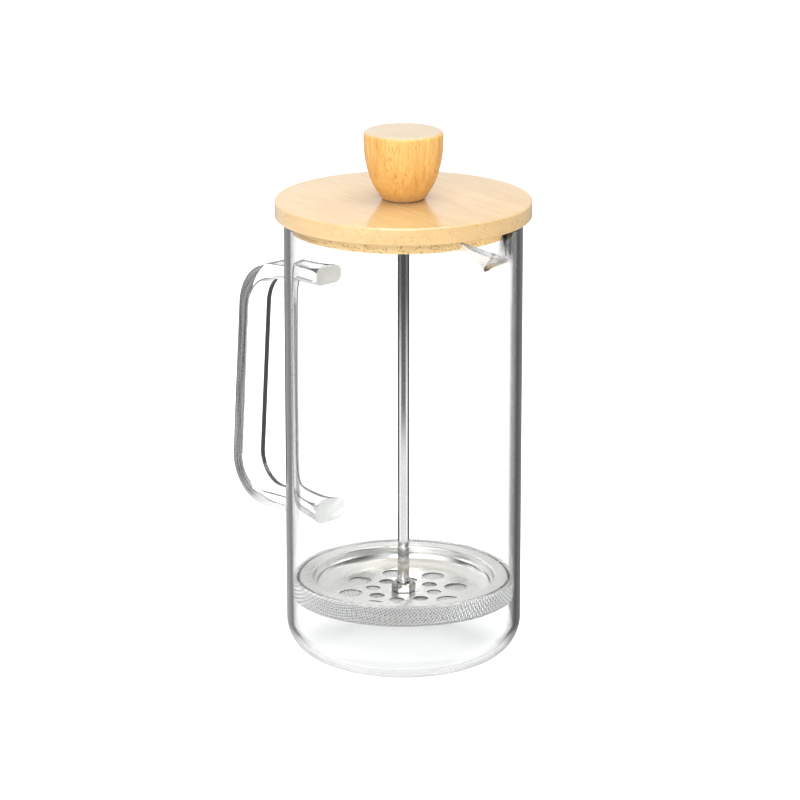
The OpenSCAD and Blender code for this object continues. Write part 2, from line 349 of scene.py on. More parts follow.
def build_beaker(material):
    """A grid of the glass's middle, thickened to both sides, with a rounded rim and a flat base."""
    phis = beaker_columns()
    outline = base_outline()
    lower_rows = len(outline)
    thick = np.array([o[2] for o in outline] + [WALL / 2] * UPPER_ROWS)
    grid = np.zeros((len(phis), lower_rows + UPPER_ROWS, 3))
    for j, phi in enumerate(phis):
        for k, (r, z, _) in enumerate(outline):
            grid[j, k] = (r * math.cos(phi), r * math.sin(phi), z)
        grid[j, lower_rows:] = wall_path(phi, UPPER_ROWS)
    near_spout = [j for j, phi in enumerate(phis) if abs(phi) < math.radians(24)]
    grid = relax(grid, near_spout, lower_rows + 6, 9)
    along = np.gradient(grid, axis=1)
    ring = np.roll(grid, -1, axis=0) - np.roll(grid, 1, axis=0)
    out = np.cross(ring, along)
    out /= np.linalg.norm(out, axis=2)[:, :, None]
    up = along[:, -1] / np.linalg.norm(along[:, -1], axis=1)[:, None]
    verts = []
    for j in range(len(phis)):
        column = list(grid[j] + out[j] * thick[:, None])
        for k in range(1, RIM_STEPS):
            a = math.pi * k / RIM_STEPS
            column.append(grid[j, -1] + WALL / 2 * (math.cos(a) * out[j, -1] + math.sin(a) * up[j]))
        column += list((grid[j] - out[j] * thick[:, None])[::-1])
        verts += column
    count = len(verts) // len(phis)
    faces = []
    for j in range(len(phis)):
        n = (j + 1) % len(phis)
        for k in range(count - 1):
            faces.append([j * count + k, n * count + k, n * count + k + 1, j * count + k + 1])
    for first, z in ((0, 0.0), (count - 1, BASE_T)):
        hub = len(verts)
        verts.append((0, 0, z))
        for j in range(len(phis)):
            n = (j + 1) % len(phis)
            edge = [j * count + first, n * count + first]
            faces.append([hub] + (edge[::-1] if first == 0 else edge))
    add_piece(
        "beaker_glass_wall", verts, faces, material, "beaker", ["glass_beaker"], 60)


# -------------------------------- handle

def handle_stations():
    """The path of the strap as (x, z, outward angle, distance to the glass), from foot to foot."""
    ux, uz, ur = UPPER_BEND
    lx, lz, lr = LOWER_BEND
    apart = (ux - lx, uz - lz)
    lean = math.atan2(-apart[0], apart[1]) + math.asin((lr - ur) / math.hypot(*apart))
    top = math.radians(90 - UPPER_RISE)
    bottom = math.radians(-90 - LOWER_RISE)

    def arm(centre_x, centre_z, r, out, d):
        x = centre_x + r * math.cos(out)
        z = centre_z + r * math.sin(out)
        slope = -math.cos(out) / math.sin(out)
        return (GLASS_R + d, z + (GLASS_R + d - x) * slope, out, d)

    stations = [arm(ux, uz, ur, top, d) for d in FOOT_STEPS]
    for k in range(ARC_STEPS + 1):
        a = top + (lean - top) * k / ARC_STEPS
        stations.append((ux + ur * math.cos(a), uz + ur * math.sin(a), a, FOOT_REACH))
    x0, z0 = ux + ur * math.cos(lean), uz + ur * math.sin(lean)
    x1, z1 = lx + lr * math.cos(lean), lz + lr * math.sin(lean)
    for k in range(1, SPAN_STEPS):
        x = x0 + (x1 - x0) * k / SPAN_STEPS
        z = z0 + (z1 - z0) * k / SPAN_STEPS
        stations.append((x, z, lean, FOOT_REACH))
    for k in range(ARC_STEPS + 1):
        a = lean + (bottom - lean) * k / ARC_STEPS
        stations.append((lx + lr * math.cos(a), lz + lr * math.sin(a), a, FOOT_REACH))
    stations += [arm(lx, lz, lr, bottom, d) for d in FOOT_STEPS[::-1]]
    return stations


def strap_ring(station, foot):
    """One section of the strap: a rounded rectangle that spreads towards its foot."""
    x, z, out, d = station
    foot_t, foot_w, foot_corner = foot
    grow = (1 - d / FOOT_REACH) ** 2
    corner = STRAP_CORNER + (foot_corner - STRAP_CORNER) * grow
    thick = STRAP_T + (foot_t - STRAP_T) * grow
    wide = STRAP_W + (foot_w - STRAP_W) * grow
    ring = []
    for quarter, (su, sv) in enumerate(((1, 1), (-1, 1), (-1, -1), (1, -1))):
        for k in range(CORNER_STEPS + 1):
            a = math.pi / 2 * (quarter + k / CORNER_STEPS)
            u = su * (thick / 2 - corner) + corner * math.cos(a)
            v = sv * (wide / 2 - corner) + corner * math.sin(a)
            ring.append([-(x + u * math.cos(out)), -v, z + u * math.sin(out)])
    return ring


def press_to_glass(ring):
    """Moves a foot's points onto the beaker's surface."""
    r = GLASS_R + FOOT_GAP
    return [[-math.sqrt(r * r - y * y), y, z] for _, y, z in ring]


def build_handle(material):
    """A bent strap of glass that ends in two curved feet against the beaker."""
    sides = 4 * (CORNER_STEPS + 1)
    stations = handle_stations()
    rings = []
    for k, station in enumerate(stations):
        ring = strap_ring(station, UPPER_FOOT if k < len(stations) / 2 else LOWER_FOOT)
        x_limit = [math.sqrt((GLASS_R + FOOT_GAP) ** 2 - y * y) for _, y, _ in ring]
        rings.append([[min(p[0], -lim), p[1], p[2]] for p, lim in zip(ring, x_limit)])
    rings[0] = press_to_glass(rings[0])
    rings[-1] = press_to_glass(rings[-1])

    def cap(ring):
        """Smaller copies of a foot's outline, which close it over the curved glass."""
        p = np.array(ring)
        c = p.mean(axis=0)
        return [press_to_glass(c + (p - c) * f) for f in (0.03, 0.3, 0.55, 0.8)]

    rings = cap(rings[0]) + rings + cap(rings[-1])[::-1]
    verts = [p for ring in rings for p in ring]
    faces = capped_faces(len(rings), sides, 0)
    obj = add_piece(
        "handle_glass_strap", verts, faces, material, "beaker", ["glass_handle"], 60)
    draw_along(obj, rings)


def draw_along(obj, rings):
    """Gives the strap a map of its own: across its thickness, then along its path, in metres."""
    p = np.array(rings)
    centre = p.mean(axis=1)
    along = np.r_[0, np.cumsum(np.linalg.norm(np.diff(centre, axis=0), axis=1))]
    path = np.gradient(centre, axis=0)
    across = np.c_[-path[:, 2], np.zeros(len(path)), path[:, 0]]
    across /= np.linalg.norm(across, axis=1)[:, None]
    offset = ((p - centre[:, None]) * across[:, None]).sum(axis=2)
    spots = np.stack([offset, np.broadcast_to(along[:, None], offset.shape)], axis=2).reshape(-1, 2) * MM
    corners = np.zeros(len(obj.data.loops), int)
    obj.data.loops.foreach_get("vertex_index", corners)
    obj.data.uv_layers.new(name="along_strap").data.foreach_set("uv", spots[corners].ravel())


# -------------------------------- lid and knob

def build_lid_plate(material):
    """The round plate, with a shallow seat for the head of the bush."""
    bore = BUSH_R + TURN_GAP
    seat_z = LID_TOP - BUSH_SEAT_DEPTH
    profile = loop([
        (bore, PLATE_Z, 0), (PLATE_R, PLATE_Z, 0.8), (PLATE_R, LID_TOP, 0.9),
        (BUSH_SEAT_R, LID_TOP, 0.15), (BUSH_SEAT_R, seat_z, 0), (bore, seat_z, 0)])
    add_turned("lid_bamboo_plate", profile, 224, material, "lid", "lid_plate")


def build_lid_plug(material):
    """The disc under the plate that centres it in the glass."""
    bore = BUSH_R + TURN_GAP
    top = PLATE_Z - PLUG_GAP
    profile = loop([(bore, PLUG_Z, 0.2), (PLUG_R, PLUG_Z, 0.7), (PLUG_R, top, 0), (bore, top, 0)])
    add_turned("lid_bamboo_plug", profile, 224, material, "lid", "lid_plug")


def build_bush(material):
    """The sleeve in the lid: a flange below, a barrel, and a head in the plate's seat."""
    bore = ROD_R + SLIDE_GAP
    low = PLUG_Z - 0.9
    flange_top = low + BUSH_FLANGE_T
    head_low = BUSH_TOP - BUSH_FLANGE_T
    profile = loop([
        (bore, low, 0.2), (BUSH_FLANGE_R, low, 0.25), (BUSH_FLANGE_R, flange_top, 0.1),
        (BUSH_R, flange_top, 0), (BUSH_R, head_low, 0), (BUSH_HEAD_R, head_low, 0.1),
        (BUSH_HEAD_R, BUSH_TOP, 0.25), (bore, BUSH_TOP, 0.2)], 4)
    add_turned("guide_bush_turned", profile, 96, material, "guide", "guide_bush")


def knob_side(z):
    """The knob's radius at a height above its base."""
    return KNOB_TOP_R - (KNOB_TOP_R - KNOB_BASE_R) * (1 - z / KNOB_H) ** KNOB_FULLNESS


def build_knob(material):
    """The turned knob, with a rounded top edge and a blind bore for the insert."""
    shoulder = KNOB_H - KNOB_ROUND
    shoulder_r = knob_side(shoulder)
    bore_top = INSERT_H + INSERT_SPACE
    profile = [(0, bore_top), (INSERT_R - 0.4, bore_top), (INSERT_R, bore_top - 0.4), (INSERT_R, 0)]
    profile += [(KNOB_BASE_R - 0.5, 0), (KNOB_BASE_R - 0.15, 0.12)]
    profile += [(knob_side(z), z) for z in np.linspace(0.45, shoulder, 40)]
    for a in np.radians(np.arange(7.5, 90.1, 7.5)):
        profile.append((shoulder_r - KNOB_ROUND * (1 - math.cos(a)), shoulder + KNOB_ROUND * math.sin(a)))
    profile += [(shoulder_r * f, KNOB_H) for f in (0.6, 0.3)] + [(0, KNOB_H)]
    profile = [(r, z + KNOB_Z) for r, z in profile]
    add_turned("knob_bamboo_turned", profile, 144, material, "plunger", "knob", False)


# -------------------------------- rod and nut

def build_rod(material):
    """A straight rod with chamfered ends."""
    chamfer = 0.4
    profile = [(0, ROD_LOW), (ROD_R - chamfer, ROD_LOW), (ROD_R, ROD_LOW + chamfer)]
    profile += [(ROD_R, z) for z in np.linspace(ROD_LOW + 1, ROD_HIGH - 1, 24)]
    profile += [(ROD_R, ROD_HIGH - chamfer), (ROD_R - chamfer, ROD_HIGH), (0, ROD_HIGH)]
    add_turned("rod_drawn_steel", profile, 64, material, "plunger", "plunger_rod", False)


def build_nut(material):
    """A hexagonal nut: every ring takes the smaller of the hexagon and the chamfer's cone."""
    sixth = math.pi / 3
    flat = NUT_FLATS / 2
    corner = flat / math.cos(sixth / 2) - NUT_BLUNT
    shoulder = NUT_H - NUT_CHAMFER
    levels = [(0, corner - 0.45), (0.25, corner), (0.5, corner), (2.0, corner), (shoulder, corner)]
    levels += [(shoulder + NUT_CHAMFER * k / 6, corner - (k / 6) ** 1.3) for k in range(1, 7)]
    bore = ROD_R + THREAD_GAP
    rings = [[(bore, NUT_LEAD_IN)] * NUT_STEPS, [(bore + NUT_LEAD_IN, 0)] * NUT_STEPS]
    for z, cone in levels:
        ring = []
        for k in range(NUT_STEPS):
            a = (2 * math.pi * k / NUT_STEPS + sixth / 2) % sixth - sixth / 2
            ring.append((min(flat / math.cos(a), cone), z))
        rings.append(ring)
    rings.append([(bore + NUT_LEAD_IN, NUT_H)] * NUT_STEPS)
    rings.append([(bore, NUT_H - NUT_LEAD_IN)] * NUT_STEPS)
    verts = []
    for ring in rings:
        for k, (r, z) in enumerate(ring):
            a = 2 * math.pi * k / NUT_STEPS + sixth / 2 + PLUNGER_TURN
            verts.append((r * math.cos(a), r * math.sin(a), PLATE_FLOOR + z))
    faces = grid_faces(len(rings), NUT_STEPS, closed=True)
    add_piece("lock_nut_hex", verts, faces, material, "plunger", ["lock_nut"], 25)


def build_collar(material):
    """The short sleeve above the nut."""
    low = PLATE_FLOOR + NUT_H
    high = low + COLLAR_H
    bore = ROD_R + THREAD_GAP
    profile = loop([(bore, low, 0), (COLLAR_R, low, 0.1), (COLLAR_R, high, 0.3), (bore, high, 0)], 4)
    add_turned("nut_collar_sleeve", profile, 64, material, "plunger", "nut_collar")


# -------------------------------- pressure plate

def cut_holes(obj, holes, low, high):
    """Drills round holes down through a piece: (angle, distance, radius) each."""
    verts, faces = [], []
    sides = 48
    for angle, distance, r in holes:
        faces += capped_faces(2, sides, len(verts))
        cx, cy = distance * math.cos(angle), distance * math.sin(angle)
        for z in (low, high):
            for k in range(sides):
                a = 2 * math.pi * k / sides
                verts.append(((cx + r * math.cos(a)) * MM, (cy + r * math.sin(a)) * MM, z * MM))
    mesh = bpy.data.meshes.new("drills")
    mesh.from_pydata(verts, [], faces)
    drills = add_object("drills", mesh)
    cut = obj.modifiers.new("holes", "BOOLEAN")
    cut.object = drills
    cut.operation = "DIFFERENCE"
    cut.solver = "EXACT"
    graph = bpy.context.evaluated_depsgraph_get()
    made = bpy.data.meshes.new_from_object(obj.evaluated_get(graph))
    obj.modifiers.clear()
    shade_smooth(made, SHARP)
    obj.data = made
    bpy.data.objects.remove(drills)


def build_plate(material):
    """The pressed dish with its flange and two rings of holes."""
    mid_z = PLATE_FLOOR - SHEET_T / 2
    flange_z = DISH_TOP - SHEET_T / 2
    wall_r = DISH_FLOOR_R + DISH_CURVE_R + SHEET_T / 2
    path = fillet([
        (ROD_R + 0.1, mid_z, 0), (8, mid_z, 0), (16, mid_z, 0), (24, mid_z, 0), (32, mid_z, 0),
        (wall_r, mid_z, DISH_CURVE_R + SHEET_T / 2), (wall_r, flange_z, 0.85),
        (42, flange_z, 0), (FLANGE_R, flange_z, 0)], 12)
    verts, faces = lathe(sheet_loop(path, SHEET_T), 192)
    obj = add_piece(
        "pressure_plate_pressed", verts, faces, material, "plunger", ["pressure_plate"])
    holes = []
    apart = 2 * math.pi / HOLE_COUNT
    for k in range(HOLE_COUNT):
        holes.append((PLUNGER_TURN + k * apart, SMALL_RING_R, SMALL_HOLE_R))
        holes.append((PLUNGER_TURN + (k + 0.5) * apart, LARGE_RING_R, LARGE_HOLE_R))
    cut_holes(obj, holes, PLATE_FLOOR - 2, PLATE_FLOOR + 1)


# -------------------------------- spring and mesh

def tube(points, normals, radius, sides, first):
    """A tube along points as vertices and faces; normals set how its section is turned."""
    p = np.asarray(points)
    n = np.asarray(normals)
    d = np.gradient(p, axis=0)
    d /= np.linalg.norm(d, axis=1)[:, None]
    n = n - (n * d).sum(1)[:, None] * d
    n /= np.linalg.norm(n, axis=1)[:, None]
    b = np.cross(d, n)
    turn = 2 * np.pi * np.arange(sides) / sides
    spokes = np.cos(turn)[None, :, None] * n[:, None] + np.sin(turn)[None, :, None] * b[:, None]
    rings = p[:, None] + radius * spokes
    return rings.reshape(-1, 3), capped_faces(len(p), sides, first)


def build_spring(material):
    """A coil spring bent into a ring, with its two ends almost meeting."""
    per_turn = 16
    u = np.arange(COIL_TURNS * per_turn + 1) / per_turn * 2 * np.pi
    phi = u / COIL_TURNS * 0.997
    coil = COIL_R - COIL_WIRE_R
    r = COIL_RING_R + coil * np.cos(u)
    points = np.c_[r * np.cos(phi), r * np.sin(phi), COIL_Z + coil * np.sin(u)]
    normals = np.c_[np.cos(u) * np.cos(phi), np.cos(u) * np.sin(phi), np.sin(u)]
    verts, faces = tube(points, normals, COIL_WIRE_R, 8, 0)
    add_piece(
        "spring_coil_wire", verts, faces, material, "plunger", ["spring_coil"], 60)


def mesh_profile(inset):
    """The woven sheet's section: distance along it, radius, height and the normal's two parts."""
    mid_r = MESH_R - inset
    low = MESH_Z + inset
    fold_mid = FOLD_R - inset
    fold_z = MESH_TOP - FOLD_R
    corner_r, corner_z = mid_r - MESH_CORNER_R, low + MESH_CORNER_R
    path = [(0.0, low), (corner_r, low)]
    for a in np.radians(np.linspace(10, 90, 9)):
        path.append((corner_r + MESH_CORNER_R * math.sin(a), corner_z - MESH_CORNER_R * math.cos(a)))
    path.append((mid_r, fold_z))
    for a in np.radians(np.linspace(15, 180, 12)):
        path.append((mid_r - fold_mid + fold_mid * math.cos(a), fold_z + fold_mid * math.sin(a)))
    path.append((mid_r - 2 * fold_mid, fold_z - FOLD_TAIL))
    p = np.array(path)
    along = np.r_[0, np.cumsum(np.linalg.norm(np.diff(p, axis=0), axis=1))]
    d = np.gradient(p, along, axis=0)
    d /= np.linalg.norm(d, axis=1)[:, None]
    return along, p[:, 0], p[:, 1], d[:, 1], -d[:, 0]


def onto_cup(profile, x, y, lift):
    """Carries points of the flat sheet onto the cup, raised from it, with the cup's normals."""
    rho = np.hypot(x, y)
    phi = np.arctan2(y, x) + WEAVE_TURN
    r, z, out, up = (np.interp(rho, profile[0], part) for part in profile[1:])
    r = r + out * lift
    z = z + up * lift
    points = np.c_[r * np.cos(phi), r * np.sin(phi), z]
    return points, np.c_[out * np.cos(phi), out * np.sin(phi), up]


def weave(profile, first_rho, last_rho, pitch, wire_r):
    """Two crossing sets of wires, each over and under the others, cut to a ring of the sheet."""
    lines = int(last_rho / pitch)
    step = np.arange(-2 * lines - 4, 2 * lines + 5)
    along = step * (pitch / 2)
    verts, faces, count = [], [], 0
    for family in (0, 1):
        for i in range(-lines, lines + 1):
            beside = np.full_like(along, (i + 0.5) * pitch)
            x, y = (beside, along) if family == 0 else (along, beside)
            over = np.where((step // 2 + i + family) % 2 == 0, 1, -1)
            lift = np.where(step % 2 == 0, 0, over) * wire_r * 0.9
            rho = np.hypot(x, y)
            inside = (rho >= first_rho) & (rho <= last_rho)
            ends = np.flatnonzero(np.diff(np.r_[0, inside.astype(int), 0]))
            for a, b in zip(ends[::2], ends[1::2]):
                if b - a < 3:
                    continue
                points, normals = onto_cup(profile, x[a:b], y[a:b], lift[a:b])
                v, f = tube(points, normals, wire_r, 4, count)
                verts.append(v)
                faces += f
                count += len(v)
    return np.concatenate(verts), faces


def build_mesh(disc_material, skirt_material):
    """The filter's fine disc and its coarser skirt, which folds over at the top."""
    verts, faces = weave(mesh_profile(DISC_INSET), MESH_BORE_R, DISC_REACH, DISC_PITCH, DISC_WIRE_R)
    add_piece(
        "filter_mesh_disc", verts, faces, disc_material, "plunger", ["filter_mesh"], 80)
    skirt = mesh_profile(SKIRT_INSET)
    verts, faces = weave(skirt, SKIRT_START, skirt[0][-1], SKIRT_PITCH, SKIRT_WIRE_R)
    add_piece(
        "filter_mesh_skirt", verts, faces, skirt_material, "plunger", ["filter_mesh"], 80)


# -------------------------------- nodes

def feed(tree, node, inputs):
    """Links a node's inputs to sockets, or sets them to constants."""
    for key, value in inputs.items():
        if isinstance(value, bpy.types.NodeSocket):
            tree.links.new(value, node.inputs[key])
        else:
            node.inputs[key].default_value = value


def add(tree, kind, inputs=None, **settings):
    """A new node with its settings and inputs."""
    made = tree.nodes.new(kind)
    for key, value in settings.items():
        setattr(made, key, value)
    feed(tree, made, inputs or {})
    return made


def maths(tree, operation, *values):
    return add(tree, "ShaderNodeMath", dict(enumerate(values)), operation=operation).outputs[0]


def times(tree, first, *others):
    """The product of two or more values."""
    product = first
    for value in others:
        product = maths(tree, "MULTIPLY", product, value)
    return product


def remap(tree, value, low, high, to_low=0.0, to_high=1.0, smooth=False):
    """The value's place between low and high, carried to another range and held at its ends."""
    made = add(tree, "ShaderNodeMapRange", {0: value, 1: low, 2: high, 3: to_low, 4: to_high})
    if smooth:
        made.interpolation_type = "SMOOTHSTEP"
    return made.outputs[0]


def remap_mm(tree, place, low, high, *others):
    """The same for a place in metres, with low and high in millimetres."""
    return remap(tree, place, low * MM, high * MM, *others)


def mix(tree, factor, a, b):
    """A colour between a and b, which are sockets or constants."""
    a, b = ((*c, 1) if isinstance(c, tuple) else c for c in (a, b))
    return add(tree, "ShaderNodeMix", {0: factor, 6: a, 7: b}, data_type="RGBA").outputs[2]


def between(tree, factor, a, b):
    """A number between a and b."""
    return add(tree, "ShaderNodeMix", {0: factor, 2: a, 3: b}).outputs[0]


def layered(tree, factor, under, over):
    """One surface laid over another."""
    return add(tree, "ShaderNodeMixShader", {0: factor, 1: under, 2: over}).outputs[0]


def object_point(tree):
    return add(tree, "ShaderNodeTexCoord").outputs["Object"]


def split(tree, vector):
    return add(tree, "ShaderNodeSeparateXYZ", {"Vector": vector}).outputs


def split_normal(tree):
    return split(tree, add(tree, "ShaderNodeNewGeometry").outputs["Normal"])


def level(tree, parts):
    """A vector with its height left out."""
    return add(tree, "ShaderNodeCombineXYZ", {"X": parts[0], "Y": parts[1]}).outputs[0]


def length(tree, vector):
    return add(tree, "ShaderNodeVectorMath", {0: vector}, operation="LENGTH").outputs["Value"]


def unit(tree, vector):
    return add(tree, "ShaderNodeVectorMath", {0: vector}, operation="NORMALIZE").outputs["Vector"]


def dot(tree, vector, direction):
    made = add(tree, "ShaderNodeVectorMath", {0: vector, 1: direction}, operation="DOT_PRODUCT")
    return made.outputs["Value"]


def noise(tree, vector, scale, detail, rough):
    inputs = {"Vector": vector, "Scale": scale, "Detail": detail, "Roughness": rough}
    return add(tree, "ShaderNodeTexNoise", inputs).outputs["Fac"]


def stretched(tree, source, scale, turn=(0, 0, 0)):
    """Coordinates turned and scaled, so that noise on them runs along a grain."""
    inputs = {"Vector": source, "Rotation": turn, "Scale": scale}
    return add(tree, "ShaderNodeMapping", inputs).outputs[0]


def bump(tree, height, distance, strength):
    inputs = {"Height": height, "Distance": distance, "Strength": strength}
    return add(tree, "ShaderNodeBump", inputs).outputs[0]


def new_material(name):
    """A material with its node tree, its shader and its output."""
    made = bpy.data.materials.new(name)
    made.use_nodes = True
    tree = made.node_tree
    return made, tree, tree.nodes["Principled BSDF"], tree.nodes["Material Output"]


def shade_under(made, factor, dark):
    """Paints shade into a finished material's colour where the factor is low."""
    tree = made.node_tree
    socket = tree.nodes["Principled BSDF"].inputs["Base Color"]
    bright = socket.links[0].from_socket
    tree.links.new(mix(tree, factor, (dark, dark, dark), bright), socket)


# -------------------------------- materials

def bamboo(name, colours, axis, flecks, coat):
    """Lacquered bamboo with its grain along one axis; cut fibres show as dots on the ends, and the ends take
    a tint of their own, which on the knob's top is a painted sheen.
    """
    pale, deep, fleck, end_grain_and_sheen_tint = colours
    side_flecks, end_flecks, dense, fleck_run, fleck_scale = flecks
    coat_weight, coat_rough, coat_ior = coat
    made, tree, shader, _ = new_material(name)
    turn = (0, math.pi / 2, 0) if axis == "Z" else (0, 0, 0.15)
    grain = stretched(tree, object_point(tree), (1, 1, 1), turn)
    end_on = maths(tree, "ABSOLUTE", split_normal(tree)["XYZ".index(axis)])
    streaks = noise(tree, stretched(tree, grain, (14, 420, 420)), 1, 4, 0.6)
    fibres = noise(tree, stretched(tree, grain, (70, 1900, 1900)), 1, 2, 0.5)
    clouds = noise(tree, stretched(tree, grain, (45, 90, 90)), 1, 2, 0.5)
    tone = maths(tree, "MULTIPLY_ADD", fibres, 0.45, times(tree, streaks, 0.75))
    tone = maths(tree, "ADD", tone, maths(tree, "MULTIPLY_ADD", clouds, 0.5, -0.1))
    wood = mix(tree, remap(tree, tone, 0.5, 1.0), pale, deep)
    # The ends' tint is the end grain's colour on the lid and plug, and a painted sheen on the knob's top.
    end_colour_and_sheen = mix(tree, clouds, end_grain_and_sheen_tint, tuple(c * 0.88 for c in end_grain_and_sheen_tint))
    wood = mix(tree, remap(tree, end_on, 0.5, 0.95, 0, 0.8), wood, end_colour_and_sheen)
    fleck_place = stretched(tree, grain, (fleck_run, fleck_scale, fleck_scale))
    cells = add(tree, "ShaderNodeTexVoronoi", {"Vector": fleck_place, "Scale": 1.0, "Randomness": 1.0})
    dots = remap(tree, cells.outputs["Distance"], 0.18, 0.42, 1.0, 0.0)
    patches = noise(tree, stretched(tree, grain, (60, 170, 170)), 1, 2, 0.6)
    patches = remap(tree, patches, dense, dense + 0.2)
    strength = remap(tree, end_on, 0.2, 0.8, side_flecks, end_flecks)
    shown = times(tree, dots, patches, strength)
    feed(tree, shader, {
        "Base Color": mix(tree, shown, wood, fleck),
        "Roughness": remap(tree, fibres, 0.3, 0.7, 0.42, 0.58),
        "Normal": bump(tree, fibres, 0.00004, 0.5),
        "Coat Normal": bump(tree, tone, 0.0003, 0.35)})
    shader.inputs["Coat Weight"].default_value = coat_weight
    shader.inputs["Coat Roughness"].default_value = coat_rough
    shader.inputs["Coat IOR"].default_value = coat_ior
    shader.inputs["Specular IOR Level"].default_value = 0.2
    return made


def finish_steel(tree, shader, colour, rough, lines):
    """Makes the shader a metal with faint relief along its lines."""
    relief = bump(tree, lines, 0.00001, 0.4)
    feed(tree, shader, {"Base Color": colour, "Roughness": rough, "Normal": relief})
    shader.inputs["Metallic"].default_value = 1.0


def steel(name, colour, smooth, rough, scratch, wear=0.1):
    """Stainless steel with fine drawn or rolled lines and a little uneven polish."""
    made, tree, shader, _ = new_material(name)
    place = object_point(tree)
    lines = noise(tree, stretched(tree, place, scratch), 1, 3, 0.6)
    cloud = noise(tree, place, 160, 3, 0.6)
    worn = tuple(c * 0.7 for c in colour)
    shade = mix(tree, remap(tree, cloud, 0.3, 0.7, 0, wear), colour, worn)
    finish_steel(tree, shader, shade, remap(tree, lines, 0.3, 0.7, smooth, rough), lines)
    return made


def plate_steel():
    """Pressed sheet: satin floor and flange, polished wall, and painted shade on the walls of the holes."""
    made, tree, shader, _ = new_material("plate_steel")
    place = object_point(tree)
    r = length(tree, level(tree, split(tree, place)))
    wall_in = remap_mm(tree, r, DISH_FLOOR_R + 2, DISH_FLOOR_R + 4, 0, 1, True)
    wall_out = remap_mm(tree, r, DISH_FLOOR_R + 5, DISH_FLOOR_R + 6, 1, 0, True)
    wall = times(tree, wall_in, wall_out)
    lines = noise(tree, stretched(tree, place, (900, 60, 900)), 1, 3, 0.6)
    cloud = noise(tree, place, 120, 3, 0.6)
    satin = remap(tree, lines, 0.3, 0.7, 0.24, 0.34)
    polish = remap(tree, cloud, 0.3, 0.7, 0.13, 0.2)
    bend_in = remap_mm(tree, r, DISH_FLOOR_R - 1, DISH_FLOOR_R + 0.5)
    bend_out = remap_mm(tree, r, DISH_FLOOR_R + 3, DISH_FLOOR_R + 4, 1, 0)
    bend = times(tree, bend_in, bend_out)
    rough = between(tree, bend, between(tree, wall, satin, polish), 0.5)
    shade = mix(tree, remap(tree, cloud, 0.3, 0.7, 0, 0.3), (0.97, 0.97, 0.95), (0.86, 0.86, 0.84))
    # Painted shade: upright faces within the ring of holes, the holes' walls, are darkened.
    side_on = remap(tree, maths(tree, "ABSOLUTE", split_normal(tree)[2]), 0.3, 0.5, 1, 0)
    painted_hole_shade = times(tree, side_on, remap_mm(tree, r, HOLES_WITHIN, HOLES_WITHIN + 1, 1, 0))
    shade = mix(tree, painted_hole_shade, shade, (0.2, 0.2, 0.2))
    finish_steel(tree, shader, shade, rough, lines)
    return made


def nut_steel():
    """Bright steel with a painted shadow in the narrow gap under the nut."""
    made = steel("nut_steel", (0.45, 0.45, 0.435), 0.03, 0.08, (400, 400, 400))
    tree = made.node_tree
    height = split(tree, object_point(tree))[2]
    # Painted shadow: the nut's lowest band, close over the plate, is darkened.
    clear_of_painted_shadow = remap_mm(tree, height, PLATE_FLOOR + 0.15, PLATE_FLOOR + 0.45)
    shade_under(made, clear_of_painted_shadow, 0.04)
    return made


def skirt_steel():
    """Woven wire with painted shade where a strand dips behind its neighbours."""
    made = steel("mesh_skirt_steel", (1.0, 1.0, 0.99), 0.35, 0.5, (1500, 1500, 1500), 0.05)
    tree = made.node_tree
    parts = split(tree, object_point(tree))
    r = length(tree, level(tree, parts))
    # Painted shade on strands that lie inward of the sheet, except along the top of the fold.
    outward = remap_mm(tree, r, MESH_R - 0.6, MESH_R - 0.2, 0.25, 1)
    on_top = remap_mm(tree, parts[2], MESH_TOP - 1.3, MESH_TOP - 0.9, 0.45, 1)
    shade_under(made, maths(tree, "MAXIMUM", outward, on_top), 0.25)
    return made


def painted_strap_image(tree, facing, from_axis, side, height):
    """How much of a painted dark image of the strap the wall shows beside its edge, between the two feet."""
    line = maths(tree, "MINIMUM", remap(tree, facing, 0.54, 0.57), remap(tree, facing, 0.60, 0.63, 1, 0))
    outer_face = remap_mm(tree, from_axis, GLASS_R - 1.5, GLASS_R - 0.5)
    at_left = remap(tree, side, -0.75, -0.9)
    above_foot = remap_mm(tree, height, 62, 76)
    below_foot = remap_mm(tree, height, 158, 168, 1, 0)
    return times(tree, line, outer_face, at_left, times(tree, above_foot, below_foot))


def edge_shade(tree, facing, from_axis, side, height, start_at, end_at):
    """Painted shade on the glass where it is seen edge on: most on the right side of the wall, none in the
    base.
    """
    above_base = remap_mm(tree, height, BASE_T, CORNER_R)
    on_wall = remap_mm(tree, from_axis, GLASS_R + 0.2, GLASS_R + 1.2, 1, 0.25)
    at_right = remap(tree, side, -0.3, 0.6, 0.2, 1, True)
    edge_on = remap(tree, facing, start_at, end_at, 0, 1, True)
    return times(tree, edge_on, above_base, on_wall, at_right)


def thinned(tree, parts):
    """Where the glass bends less light: at the spout and at the foot of the wall."""
    outward = remap_mm(tree, parts[0], 45.5, 47)
    raised = remap_mm(tree, parts[2], 176, 181)
    across = remap_mm(tree, parts[1], -6, 6, 0.3, 0.85)
    foot = remap_mm(tree, parts[2], 1, 12, 0.6, 0)
    return maths(tree, "MAXIMUM", times(tree, outward, raised, across), foot)


